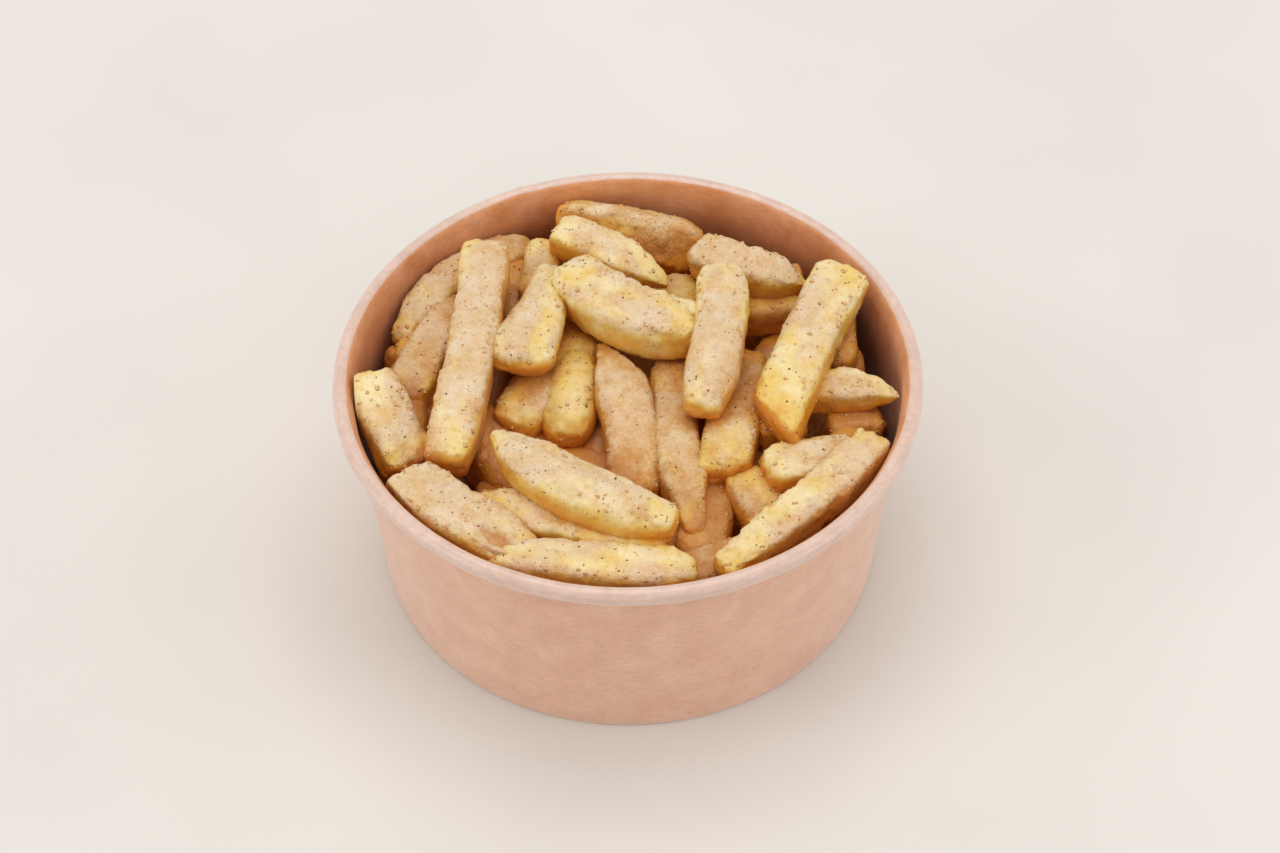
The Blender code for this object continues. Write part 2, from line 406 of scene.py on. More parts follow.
@dataclass(frozen=True)
class FriedPotato:
    """Potato cut in thick sticks, dusted with seasoned flour and deep fried.

    Frying sets the flour as a thin granular crust, dry, pinkish and matt. Where the crust is thin the
    potato shows through, smooth, yellow and slightly oily, and edges turn golden brown. Faces turned
    away from above, and the hollows of the heap, are painted more golden and browner as painted shade.
    Light goes about a millimetre into the flesh, which softens and warms it.
    """

    name: str = "fried_potato"
    flesh: tuple[str, str, str] = ("#EEDCA8", "#E6C464", "#DB9828")
    crust: tuple[str, str, str] = ("#F0D7BC", "#E7C194", "#D49244")
    # The browns below paint both real browning and painted shade in hollows and on faces turned away from
    # above
    toasted_and_shaded: tuple[str, str] = ("#E29430", "#D08A50")  # bare potato, crust
    burnt_and_shaded: str = "#BC641C"
    specks: tuple[Specks, ...] = (
        Specks("#A35A30", 2.47, 0.42, 0.35, 0.3),
        Specks("#A35A30", 1.3, 0.20, 0.45, 0.6),
        Specks("#4E2F14", 2.21, 0.15, 0.6, 0.8),
    )
    patch_mm: float = 6.5  # lighter and darker patches
    grain_mm: float = 0.8  # clumps of fried flour
    blister_mm: float = 1.0  # fine blisters of the frying
    relief_mm: float = 0.616
    subsurface_mm: float = 1.2

    def material(self) -> bpy.types.Material:
        """Build the material, which reads the values coat, toast and tone from the mesh; toast and tone
        carry painted shade as well as the fries' own browning.
        """
        graph = Graph(self.name)
        coat, toast_and_shade, tone = (
            add_node(graph.tree, "Attribute", attribute_name=key).outputs["Fac"]
            for key in ("coat", "toast_and_shade", "tone")
        )
        patch = graph.noise(self.patch_mm, 4.0, 0.6)
        grain = graph.noise(self.grain_mm, 4.0, 0.7)
        # tone carries painted shade, so the darker ends of the flesh and crust ramps paint shade too
        eased = graph.mapped(graph.maths("MULTIPLY_ADD", patch, 1.9, tone), 0.6, 2.3)
        flesh = graph.ramp(eased, (0.1, self.flesh[0]), (0.8, self.flesh[2]), (0.42, self.flesh[1]))
        crust_share = graph.maths("MULTIPLY_ADD", grain, 0.7, eased)
        crust = graph.ramp(
            crust_share, (0.34, self.crust[0]), (0.95, self.crust[2]), (0.64, self.crust[1])
        )
        covered = graph.mapped(graph.maths("MULTIPLY_ADD", grain, 0.6, coat), 0.3, 1.35, (0.0, 0.9))
        skin = graph.blend(covered, flesh, crust)
        brown = graph.mapped(graph.maths("MULTIPLY", patch, toast_and_shade), 0.08, 0.55, (0.0, 0.95))
        toasted_and_shaded = graph.blend(covered, *(linear(colour) for colour in self.toasted_and_shaded))
        browned_and_shaded = graph.blend(brown, skin, toasted_and_shaded)
        # The darkest brown goes to the most browned places and to the deepest painted shade
        colour = graph.blend(graph.mapped(toast_and_shade, 0.9, 1.6, (0.0, 0.5)), browned_and_shaded, linear(self.burnt_and_shaded))
        for kind in self.specks:
            pattern = {"Vector": graph.place, "Scale": 1 / kind.spacing_mm, "Randomness": 1.0}
            cell = add_node(graph.tree, "TexVoronoi", pattern)
            near = graph.mapped(cell.outputs["Distance"], kind.size * 0.3, kind.size, (1.0, 0.0))
            pick = add_node(graph.tree, "SeparateColor", {0: cell.outputs["Color"]}).outputs[0]
            chosen = graph.mapped(pick, kind.none, 1.0, (0.0, kind.strength))
            colour = graph.blend(graph.maths("MULTIPLY", near, chosen), colour, linear(kind.colour))
        fine = graph.noise(self.blister_mm, 6.0, 0.7)
        relief = graph.maths("MULTIPLY_ADD", fine, 0.45, graph.maths("MULTIPLY", grain, covered))
        inputs = {
            "Base Color": colour,
            "Roughness": graph.mapped(covered, 0.0, 1.0, (0.28, 0.5)),
            "IOR": 1.42,
            "Specular IOR Level": 0.5,
            "Coat Weight": 0.35,
            "Coat Roughness": 0.22,
            "Subsurface Weight": 0.12,
            "Subsurface Radius": (1.0, 0.7, 0.45),
            "Subsurface Scale": self.subsurface_mm * MM,
            "Normal": graph.bump(relief, self.relief_mm),
        }
        return graph.finished(inputs)


@dataclass(frozen=True)
class DryGrains:
    """Spice ground coarse, or crumbs of fried flour: dull grains, each a little lighter or darker."""

    name: str
    light: str
    dark: str
    roughness: float = 0.7
    mottle_mm: float = 0.8

    def material(self) -> bpy.types.Material:
        """Build the grains' material."""
        graph = Graph(self.name)
        tone = graph.ramp(graph.noise(self.mottle_mm, 2.0), (0.35, self.dark), (0.65, self.light))
        return graph.finished({"Base Color": tone, "Roughness": self.roughness, "Specular IOR Level": 0.2})


@dataclass(frozen=True)
class StudioFloor:
    """Matt pale sweep that the bowl stands on, faintly uneven as rolled studio paper is."""

    light: str = "#E2DFDB"
    dark: str = "#DAD7D3"
    cloud_mm: float = 120.0

    def material(self) -> bpy.types.Material:
        """Build the floor's material."""
        graph = Graph("studio_paper")
        tone = graph.ramp(graph.noise(self.cloud_mm, 2.0), (0.3, self.dark), (0.7, self.light))
        return graph.finished({"Base Color": tone, "Roughness": 0.8})


# The bowl


@dataclass
class PaperBowl:
    """A turned kraft board bowl: one tapered wall with a rolled rim and a hemmed foot, and a base."""

    rim_radius: float = 75.0
    height: float = 63.0
    foot_radius: float = 65.0
    wall_top_radius: float = 70.3
    board: float = 0.5
    rim_wide: float = 4.4
    rim_high: float = 4.5
    base_rise: float = 5.4
    steps: int = 288
    seam_degrees: float = 112.0  # the glued side seam is on the far side
    seam_overlap_mm: float = 9.0
    seam_step_mm: float = 0.35  # two thicknesses of board, pressed together
    wave_mm: tuple[float, float] = (46.0, 0.10)  # length and height of the wall's slow waves
    dent_mm: tuple[float, float] = (7.0, 0.03)  # the same of small dents
    noise: Noise = field(default_factory=lambda: Noise(5))

    def wall_radius(self, height: Any) -> Any:
        """Outside radius of the straight wall at a height, or at an array of heights."""
        rise = height / (self.height - self.rim_high)
        return self.foot_radius + (self.wall_top_radius - self.foot_radius) * rise

    def wall_line(self) -> list[tuple[float, float]]:
        """Middle line of the wall's board, from the hem inside the foot, up, and round the roll.

        Returns:
            Points as (radius, height).
        """
        half = self.board / 2
        hem = self.foot_radius - 3 * self.board + 0.22
        line = [(hem + 0.1, 4.6), (hem, 2.4), (hem, 0.9), (hem + 0.1, 0.45), (hem + 0.35, half + 0.03)]
        line += [(self.foot_radius - half - 0.35, half + 0.03), (self.foot_radius - half - 0.08, 0.5)]
        top = self.height - self.rim_high / 2 - 1.3
        for i in range(25):
            height = 1.2 + (top - 1.2) * i / 24
            line.append((self.wall_radius(height) - half, height))
        across, up = self.rim_wide / 2 - half, self.rim_high / 2 - half
        middle = (self.rim_radius - self.rim_wide / 2, self.height - self.rim_high / 2)
        for i in range(33):
            turn = math.radians(158 - 312 * i / 32)
            line.append((middle[0] + across * math.cos(turn), middle[1] + up * math.sin(turn)))
        return line

    def base_line(self) -> list[tuple[float, float]]:
        """Middle line of the base disc's board, with its edge turned down into the hem.

        Returns:
            Points as (radius, height).
        """
        half = self.board / 2
        level = self.base_rise + half
        edge = self.foot_radius - 2 * self.board + 0.12
        line = [(0.0, level - 0.25)]
        line += [(edge * share, level - 0.25 * (1 - share**2)) for share in (0.2, 0.4, 0.6, 0.8, 0.93)]
        line += [(edge - 0.9, level), (edge - 0.25, level - 0.15), (edge, level - 0.8)]
        return line + [(edge, 3.5), (edge, 1.2)]

    def sheet(self, line: Sequence[tuple[float, float]], inside_part: float = 1.1) -> Solid:
        """Thicken a middle line to the board and turn it about the upright axis.

        Args:
            line: Points as (radius, height), the first inside or at the axis.
            inside_part: How much of the rolled rim's width still shows the inside finish.

        Returns:
            The turned board, with slots for its outside, its inside and the rolled rim.
        """
        path = np.array(line)
        run = np.gradient(path, axis=0)
        run /= np.linalg.norm(run, axis=1)[:, None]
        side = np.stack([run[:, 1], -run[:, 0]], axis=1) * self.board / 2
        outline = np.concatenate([path + side, (path - side)[::-1]])
        outline[:, 0] = np.maximum(outline[:, 0], 0.01)
        quads = grid_faces(self.steps, len(outline), closed=True)[:, [0, 3, 2, 1]]
        inner = np.arange(len(outline)) >= len(line)
        # The inside finish, whose darker colour is partly painted shade, reaches onto the inner side of the
        # rolled rim and paints shade there
        within = inner & (outline[:, 0] < self.rim_radius - self.rim_wide + inside_part)
        rolled = outline[:, 1] > self.height - self.rim_high
        slots = np.tile(np.where(within, 1, np.where(rolled, 2, 0)), self.steps)
        return Solid(turned(outline, self.steps).reshape(-1, 3), quads, {}, slots)

    def uneven(self, solid: Solid) -> Solid:
        """Give the board its slight waves and the step of the side seam.

        Args:
            solid: A turned sheet, changed in place.

        Returns:
            The same mesh.
        """
        points = solid.points
        reach = np.hypot(points[:, 0], points[:, 1])
        outward = points[:, :2] / np.maximum(reach, 1e-6)[:, None]
        slow, small = (
            self.noise.fractal(points, size, 2) * high for size, high in (self.wave_mm, self.dent_mm)
        )
        on_wall = reach > self.foot_radius - 5
        angle = np.degrees(np.arctan2(points[:, 1], points[:, 0]))
        along = np.radians((angle - self.seam_degrees + 180) % 360 - 180) * reach
        step = np.where(along > 0, np.clip(1 - along / self.seam_overlap_mm, 0, 1), 0)
        shift = np.where(on_wall, slow + small, small * 0.5)
        shift += np.where(on_wall & (points[:, 2] > 0.6), step * self.seam_step_mm, 0)
        target = np.minimum(reach + shift, self.rim_radius - 0.02)
        points[:, :2] = outward * np.where(reach > 0.1, target, reach)[:, None]
        points[:, 2] = np.clip(points[:, 2] + np.where(on_wall, 0, small), 0.0, self.height)
        return solid

    def build(
        self, outside: bpy.types.Material, inside: bpy.types.Material, rim: bpy.types.Material
    ) -> None:
        """Make the wall and the base.

        Args:
            outside: Finish of the outer face.
            inside: Finish of the face that holds the food.
            rim: Finish of the rolled rim, which shows the coated face to the light.
        """
        finishes = (outside, inside, rim)
        wall = self.uneven(self.sheet(self.wall_line())).object("bowl_wall", finishes)
        base = self.uneven(self.sheet(self.base_line())).object("bowl_base", finishes)
        for piece in (wall, base):
            piece.data.set_sharp_from_angle(angle=math.radians(50))
            dressed(piece, "bowl")


# The fries


class Tone(Enum):
    """How dark a fry came out of the oil; the darker tones also go to the fries low in the heap, as painted
    shade.
    """

    PALE = 0.15
    GOLDEN = 0.45
    TAN = 0.6
    DEEP = 0.75


@dataclass(frozen=True)
class Split:
    """A crack in the crust that runs along a fry."""

    angle: float  # where on the section, in degrees from its left side, over the top
    start: float
    end: float
    wide: float = 0.9
    deep: float = 0.8


@dataclass
class Fry:
    """One thick potato stick, from the middle of one end to the middle of the other, in millimetres."""

    start: Point
    end: Point
    wide: float = 12.0
    deep: float = 11.0
    bow: float = 0.0  # bend to the left of its run
    arch: float = 0.5  # bend upward
    roll: float = 0.0
    ends: tuple[float, float] = (0.7, 0.7)  # sizes of the two ends, as shares of the middle
    reach: tuple[float, float] = (0.2, 0.2)  # how far in from each end it narrows, as shares of the length
    taper: float = 0.0  # how much wider it is at its end than at its start
    skew: tuple[float, float] = (0.0, 0.0)  # how far the cut at each end runs ahead on the left
    tone: Tone = Tone.GOLDEN
    deepens: float = 0.0  # how much more golden its end is than its start
    coat: float = 0.0  # more crust above zero, more bare potato below
    crags: float = 0.2
    power: float = 4.0  # squareness of the section
    splits: tuple[Split, ...] = ()


FRIES: dict[str, tuple[Fry, ...]] = {}
FRIES["fries_left"] = (
    Fry((-67, 2, 58), (-54, -24, 51), 13.5, 11, arch=1, ends=(0.95, 0.8), reach=(0.1, 0.2),
        skew=(4, 0), coat=0.3),
    Fry((-56, -32, 57), (-23, -55.5, 54.5), 15.5, 11.5, bow=-2, arch=1.5, ends=(0.95, 0.5),
        reach=(0.1, 0.3), skew=(2.5, 0), crags=0.5, coat=0.1,
        splits=(Split(70, 0.62, 1.0, 1.6, 1.6), Split(40, 0.7, 1.0, 1.0, 1.0))),
    Fry((-42, 34, 53), (-58, 0, 49), 13, 11, bow=-1, ends=(0.5, 0.7), reach=(0.3, 0.2), tone=Tone.TAN,
        crags=0.4, coat=0.4),
    Fry((-47, 34, 43), (-50, -3, 42), 11, 11, tone=Tone.TAN),
    Fry((-61, 18, 45), (-55, 30, 40), 9, 9, tone=Tone.DEEP),
    Fry((-37, 43, 64), (-45.5, -28.5, 58), 13, 12, bow=1.5, arch=1, ends=(0.85, 0.8), reach=(0.15, 0.2),
        coat=0.4, tone=Tone.TAN),
    Fry((-42, 0, 46), (-26, -26, 44), 14, 11, tone=Tone.DEEP, crags=0.5),
)
FRIES["fries_back"] = (
    Fry((-60, 22, 50), (-25, 58, 48), 11.5, 10, bow=4.5, arch=3, ends=(0.35, 0.7),
        reach=(0.35, 0.2), coat=0.1),
    Fry((-21.5, 53, 56), (-24, 34, 52), 10.5, 10, coat=-0.2),
    Fry((-31, 52, 49), (-29, 30, 47), 11, 10, tone=Tone.TAN),
    Fry((-19, 63, 54), (20, 55, 51), 15, 10, bow=-1.5, arch=2, roll=58, tone=Tone.DEEP, crags=0.6),
    Fry((-19, 51, 62), (11, 34, 59), 12, 9.5, arch=1, ends=(0.9, 0.15), reach=(0.12, 0.45), coat=-0.5),
    Fry((18, 47, 59), (48, 35, 58), 12.5, 11, bow=-3, arch=1, ends=(0.8, 0.1), reach=(0.15, 0.4),
        crags=0.6, coat=0.5),
    Fry((-4, 38, 50), (20, 37, 50), 12, 11),
    Fry((31, 40, 53), (46, 41, 51), 11, 11, tone=Tone.TAN),
    Fry((29, 30, 52), (46, 33, 51), 11, 11),
)
FRIES["fries_middle"] = (
    Fry((-20.5, 40, 58), (-29.5, 2, 61.5), 14.5, 10, bow=2, arch=1, roll=-15, ends=(0.8, 0.5), taper=0.34,
        skew=(0, -5), power=2.6, coat=0.1),
    Fry((-30.5, -9, 49.5), (-10, 25, 49.5), 14, 11, coat=0.2),
    Fry((-11, 20, 51.5), (-15.3, -13, 49.5), 15.5, 12, bow=-1.5, ends=(0.3, 0.55), reach=(0.5, 0.25),
        coat=-0.9, crags=0.0, power=2.4),
    Fry((-7.5, 16, 56), (1.5, -32, 49), 14.5, 12, bow=3, ends=(0.15, 0.7), reach=(0.45, 0.2),
        coat=0.35, tone=Tone.TAN, deepens=0.25),
    Fry((-15.5, 37, 61), (19, 14, 62), 15.5, 13.5, bow=-5.5, ends=(0.8, 0.75), reach=(0.15, 0.25),
        tone=Tone.PALE, coat=-0.1, crags=0.5),
    Fry((13, 17, 50), (17, -45, 49), 12.5, 11, bow=-3, arch=2.5, ends=(0.6, 0.35), reach=(0.2, 0.35),
        coat=0.3, tone=Tone.TAN, deepens=0.25),
    Fry((5, 21, 44), (4, 9, 42), 10, 10, tone=Tone.DEEP),
    Fry((24.5, 33, 65), (18, -14.5, 61.5), 14, 11.5, bow=2, arch=2.4, ends=(0.7, 0.6), reach=(0.2, 0.3),
        coat=0.3, power=2.8),
    Fry((30, 14, 52), (23, -28, 52), 14, 11.5, bow=1, arch=1, ends=(0.7, 0.85), reach=(0.2, 0.1),
        skew=(0, -4), coat=0.1, crags=0.4, tone=Tone.TAN),
    Fry((-9, 8, 38), (-11, -15, 38), 12, 11, tone=Tone.DEEP),
)
FRIES["fries_right"] = (
    Fry((56.5, 34, 62), (36.5, -17, 59), 14.5, 11.5, bow=-1, arch=1, ends=(0.95, 0.9), reach=(0.08, 0.12),
        skew=(0, 10), tone=Tone.PALE, deepens=0.8, coat=-0.45, crags=0.6),
    Fry((40, -1, 54), (69, -4.5, 57), 11, 9, bow=1.5, ends=(0.9, 0.15), reach=(0.1, 0.5), coat=-0.4),
    Fry((54, 37, 52.5), (54, 11, 49), 12, 11, arch=1, tone=Tone.TAN, crags=0.5),
    Fry((31.5, -10, 50.5), (45, -8, 50.5), 12, 11, coat=-0.6),
    Fry((50.5, -7.5, 47.5), (65, -6, 48), 11, 10, ends=(0.7, 0.8), coat=0.4, tone=Tone.TAN),
    Fry((44, 13, 36), (48, -5, 36), 12, 11, tone=Tone.TAN),
    Fry((62, -20, 55.5), (22, -60.5, 55), 11.5, 10.5, bow=2, arch=1, ends=(1.0, 0.6), reach=(0.08, 0.4),
        crags=0.7, tone=Tone.TAN),
    Fry((33.5, -28, 54), (57, -22.5, 53), 13, 10.5, ends=(0.75, 0.9), coat=-0.4),
)
FRIES["fries_front"] = (
    Fry((28, -25, 49), (36, -42, 47), 11.5, 10.5, arch=1, ends=(0.65, 0.9), coat=-0.3),
    Fry((23, -21, 44), (17, -51, 46), 12.5, 11, tone=Tone.DEEP),
    Fry((-33.5, -19.5, 61), (12, -50, 61), 15.5, 13, bow=-6, arch=1, ends=(0.15, 0.5), reach=(0.35, 0.3),
        coat=-0.35, power=2.6, splits=(Split(110, 0.08, 0.75, 0.8, 0.5),)),
    Fry((-38, -38, 54.5), (10, -53.5, 54.5), 11, 10, bow=-1, ends=(0.6, 0.7), coat=-0.2),
    Fry((-34, -55, 54), (17, -60, 54), 12, 11, bow=-2, arch=1, ends=(0.7, 0.5), reach=(0.2, 0.15),
        coat=-0.1),
    Fry((-36, -16, 37), (-18, -23, 37), 11, 10, tone=Tone.DEEP),
)


@dataclass
class FryHeap:
    """The heap in the bowl: the fries that show, a ring and a bed of fries under them, and a core."""

    bowl: PaperBowl
    finish: bpy.types.Material
    fine_mm: float = 0.62  # mesh spacing on the fries that show
    coarse_mm: float = 1.15
    wall_gap: float = 0.35
    cap_mm: float = 2.0  # rounding of a cut end
    sunk_mm: float = 0.1  # relief goes in from the cut size more than out
    ring_angles: tuple[float, ...] = (28, 58, 88, 118, 150, 178, 206, 232, 258, 284, 310, 334)
    ring_radius: float = 56.0
    ring_height: float = 46.5
    ring_length: float = 34.0
    bed_rings: tuple[tuple[float, int, float], ...] = (  # radius, count and height of each
        (38.0, 11, 42.0), (20.0, 7, 42.5), (5.0, 2, 43.0), (55.0, 12, 36.0),
    )
    noise: Noise = field(default_factory=lambda: Noise(11))
    surfaces: list[Solid] = field(default_factory=list)

    def ring(self) -> tuple[Fry, ...]:
        """Lay fries along the wall under the others.

        Returns:
            The fries, around the bowl.
        """
        made = []
        for degrees in self.ring_angles:
            turn = math.radians(degrees)
            middle = Vector((math.cos(turn), math.sin(turn), 0)) * self.ring_radius
            half = Vector((-math.sin(turn), math.cos(turn), 0)) * self.ring_length / 2
            low, high = middle - half, middle + half
            low.z, high.z = self.ring_height - 2, self.ring_height + 2
            made.append(Fry(tuple(low), tuple(high), bow=-1.5, tone=Tone.TAN))
        return tuple(made)

    def bed(self) -> tuple[Fry, ...]:
        """Lay fries at random under the middle of the heap, to close the deep gaps.

        Returns:
            The fries, ring by ring.
        """
        draw = np.random.default_rng(31)
        made = []
        for radius, count, height in self.bed_rings:
            for i in range(count):
                turn = 2 * math.pi * (i + draw.uniform(-0.3, 0.3)) / count
                heading = turn + draw.uniform(0.5, 2.4)
                middle = np.array([math.cos(turn), math.sin(turn)]) * radius
                half = np.array([math.cos(heading), math.sin(heading)]) * draw.uniform(13, 18)
                tilt = draw.uniform(-2.5, 2.5)
                low, high = middle - half, middle + half
                made.append(
                    Fry((*low, height - tilt), (*high, height + tilt), draw.uniform(10.5, 12.5), 11.0,
                        tone=Tone.DEEP if i % 2 else Tone.TAN)
                )
        return tuple(made)

    def rings_along(self, length: float, spacing: float) -> np.ndarray:
        """Place the rings of a fry's skin, close together in its rounded ends.

        Args:
            length: Its length in millimetres.
            spacing: The distance of two rings in its middle.

        Returns:
            Their distances from its start.
        """
        cap = self.cap_mm * (np.arange(7) / 7.0) ** 2
        middle = np.linspace(self.cap_mm, length - self.cap_mm, max(4, int(length / spacing)))
        return np.concatenate([cap, middle, (length - cap)[::-1]])

    @staticmethod
    def section(wide: float, deep: float, count: int, power: float) -> np.ndarray:
        """Points of a rounded bar's section, evenly spaced along its outline.

        Args:
            wide: Full width.
            deep: Full depth.
            count: How many points.
            power: 2 for an ellipse, more for squarer.

        Returns:
            Shares of the half width and half depth, as rows of two.
        """
        turn = np.linspace(0, 2 * math.pi, 721)
        cos, sin = np.cos(turn), np.sin(turn)
        x = np.sign(cos) * np.abs(cos) ** (2 / power)
        y = np.sign(sin) * np.abs(sin) ** (2 / power)
        walked = np.concatenate([[0], np.cumsum(np.hypot(np.diff(x) * wide, np.diff(y) * deep))])
        even = np.linspace(0, walked[-1], count, endpoint=False)
        return np.stack([np.interp(even, walked, x), np.interp(even, walked, y)], axis=1)

    def surface(self, fry: Fry, seed: int, spacing: float) -> Solid:
        """Make the skin of one fry with its relief.

        Args:
            fry: Its place, size and look.
            seed: What sets its own unevenness.
            spacing: The mesh spacing in millimetres.

        Returns:
            A closed mesh with the values coat, toast, tone and edge.
        """
        draw = np.random.default_rng(seed)
        offset = draw.uniform(0, 40, 3)
        start, end = np.array(fry.start, float), np.array(fry.end, float)
        length = float(np.linalg.norm(end - start))
        run = (end - start) / length
        left = np.cross((0.0, 0.0, 1.0), run)
        left /= np.linalg.norm(left)
        up = np.cross(run, left)
        away = self.rings_along(length, spacing)
        share = away / length
        bend = 4 * share * (1 - share)
        middle = start + np.outer(share, end - start)
        middle += np.outer(bend, left * fry.bow + up * fry.arch)
        tangent = np.gradient(middle, axis=0)
        tangent[0], tangent[-1] = tangent[8], tangent[-9]
        tangent /= np.linalg.norm(tangent, axis=1)[:, None]
        swing = math.radians(fry.roll) + np.radians(draw.uniform(-7, 7)) * (share - 0.5) * 2
        across = np.cos(swing)[:, None] * left + np.sin(swing)[:, None] * up
        across -= np.sum(across * tangent, axis=1)[:, None] * tangent
        across /= np.linalg.norm(across, axis=1)[:, None]
        top = np.cross(tangent, across)
        grown = self.grown(fry, share)
        near_end = np.minimum(away, length - away)
        cap = (1 - (1 - np.clip(near_end / self.cap_mm, 0, 1)) ** 2.4) ** (1 / 2.4)
        count = int(2 * (fry.wide + fry.deep) * 0.87 / spacing) // 2 * 2
        power = fry.power * draw.uniform(0.92, 1.08)
        flat = self.section(fry.wide, fry.deep, count, power)
        waist = 1 + 0.07 * self.noise.at(np.stack([away / 11, share * 0, share * 0], 1) + offset)
        belly = 1 + 0.06 * self.noise.at(np.stack([away / 13, share * 0, share * 0], 1) + offset + 9)
        wedge = 1 + fry.taper * (2 * share - 1)
        across_mm = (grown * wedge * cap * waist * fry.wide / 2)[:, None, None] * across[:, None, :]
        top_mm = (grown * cap * belly * fry.deep / 2)[:, None, None] * top[:, None, :]
        grid = middle[:, None, :] + across_mm * flat[None, :, :1] + top_mm * flat[None, :, 1:]
        ahead = np.clip(1 - share * 4, 0, 1) * fry.skew[0] + np.clip(share * 4 - 3, 0, 1) * fry.skew[1]
        grid += (ahead * cap)[:, None, None] * flat[None, :, :1] / 2 * tangent[:, None, :]
        normal = self.grid_normals(grid, tangent)
        points, facing = grid.reshape(-1, 3), normal.reshape(-1, 3)
        values = self.looks(fry, points + offset, facing, flat, away, length, draw)
        lift = values.pop("lift")
        points = self.inside_wall(points + facing * lift[:, None])
        # The first and the last ring are shrunk to a point, which closes the skin
        return Solid(points, grid_faces(len(away), count), values)

    @staticmethod
    def grown(fry: Fry, share: np.ndarray) -> np.ndarray:
        """Size of the section along a fry.

        Args:
            fry: The fry.
            share: Places along it, from 0 to 1.

        Returns:
            Shares of its size in the middle.
        """
        near = np.clip(share / fry.reach[0], 0, 1), np.clip((1 - share) / fry.reach[1], 0, 1)
        low, high = (e + (1 - e) * np.sin(n * math.pi / 2) for e, n in zip(fry.ends, near))
        return low * high

    @staticmethod
    def grid_normals(grid: np.ndarray, tangent: np.ndarray) -> np.ndarray:
        """Outward normals of a fry's skin.

        Args:
            grid: Its points, ring by ring.
            tangent: The fry's direction at each ring.

        Returns:
            A normal for each point.
        """
        along = np.gradient(grid, axis=0)
        round_it = np.roll(grid, -1, axis=1) - np.roll(grid, 1, axis=1)
        normal = np.cross(round_it, along)
        size = np.linalg.norm(normal, axis=2)[..., None]
        normal = normal / np.maximum(size, 1e-9)
        normal[0], normal[-1] = -tangent[0], tangent[-1]
        return normal

    def looks(
        self,
        fry: Fry,
        places: np.ndarray,
        facing: np.ndarray,
        flat: np.ndarray,
        away: np.ndarray,
        length: float,
        draw: np.random.Generator,
    ) -> dict[str, np.ndarray]:
        """Relief and finish, painted shade included, at every point of one fry.

        Args:
            fry: The fry.
            places: Noise coordinates of its points, in millimetres.
            facing: Outward normals.
            flat: The section's points, as shares of its half sizes.
            away: Each ring's distance from the start.
            length: The fry's length.
            draw: Its own random draw.

        Returns:
            coat, toast, tone and edge values, and the lift of each point along its normal.
        """
        rings, count, share = len(away), len(flat), away / length
        corner = np.tile(smoothstep(0.5, 0.82, np.abs(flat).min(axis=1)), rings)
        end_mm = np.repeat(np.minimum(away, length - away), count)
        at_end = 1 - smoothstep(0.5, 6.0, end_mm)
        edge = np.maximum(corner, at_end)
        run = (np.array(fry.end, float) - np.array(fry.start, float)) / length
        grown_long = places - 0.65 * np.outer(places @ run, run)
        broad = self.noise.fractal(places, 12.0, 2)
        patchy = self.noise.fractal(grown_long + 17.0, 6.0, 3)
        rough = self.noise.fractal(places + 5.0, 2.3, 3)
        grain = self.noise.fractal(places + 29.0, 1.2, 2)
        # This grows as a face turns away from above: it thins the dust crust there, and it also paints shade
        # on those faces
        aside_bare_and_shaded = 1 - smoothstep(0.0, 0.95, facing[:, 2])
        cut_face = 1 - smoothstep(2.0, 11.0, end_mm)
        rubbed = 0.8 * aside_bare_and_shaded + 0.7 * cut_face
        coat = smoothstep(-0.8, 0.8, 0.95 * patchy + 0.25 * rough - rubbed + fry.coat + 0.45)
        flake = smoothstep(0.02, 0.16, self.noise.fractal(places + 61.0, 4.2, 3)) * (0.4 + 0.6 * coat)
        cragged = smoothstep(0.1, 0.6, self.noise.fractal(places + 41.0, 8.0, 2) + 0.5 * fry.crags - 0.1)
        lift = 0.30 * broad + 0.08 * self.noise.fractal(grown_long + 3.0, 3.4, 2)
        lift += 0.05 * grain * (0.3 + coat) + 0.10 * flake - 0.05 + 0.05 * rough
        lift += fry.crags * cragged * np.clip(rough, -0.9, 0.7) * 0.6
        lift += edge * np.clip(rough + 0.2 * grain, -0.8, 0.5) * 0.35
        groove = np.zeros(len(places))
        for split in fry.splits:
            groove = np.maximum(groove, self.groove(split, flat, share, fry, places))
        lift -= groove + self.sunk_mm
        darker = fry.tone.value - Tone.GOLDEN.value
        toward_end = np.repeat(smoothstep(0.35, 1.0, share), count) * fry.deepens
        # Painted shade: faces turned away from above, and their edges, are painted browner and more golden;
        # top ridges are painted a little lighter, a painted highlight
        toast_and_shade = 0.35 * edge * aside_bare_and_shaded + 0.30 * smoothstep(0.2, 0.9, broad + 0.3 * edge)
        toast_and_shade += 0.3 * smoothstep(0.4, 1.0, rough * 0.6 + at_end * 0.4)
        toast_and_shade += 0.6 * darker + 0.25 * aside_bare_and_shaded**2 + 0.5 * groove + 0.4 * toward_end
        tone = toward_end + darker + draw.uniform(-0.1, 0.1)
        tone += 0.45 * aside_bare_and_shaded + 0.22 * cut_face - 0.1 * edge * (1 - aside_bare_and_shaded)
        toast_and_shade, tone = np.clip(toast_and_shade, 0, 1.5), np.clip(tone, 0, 1.5)
        return {"coat": coat, "toast_and_shade": toast_and_shade, "tone": tone, "edge": edge, "lift": lift}

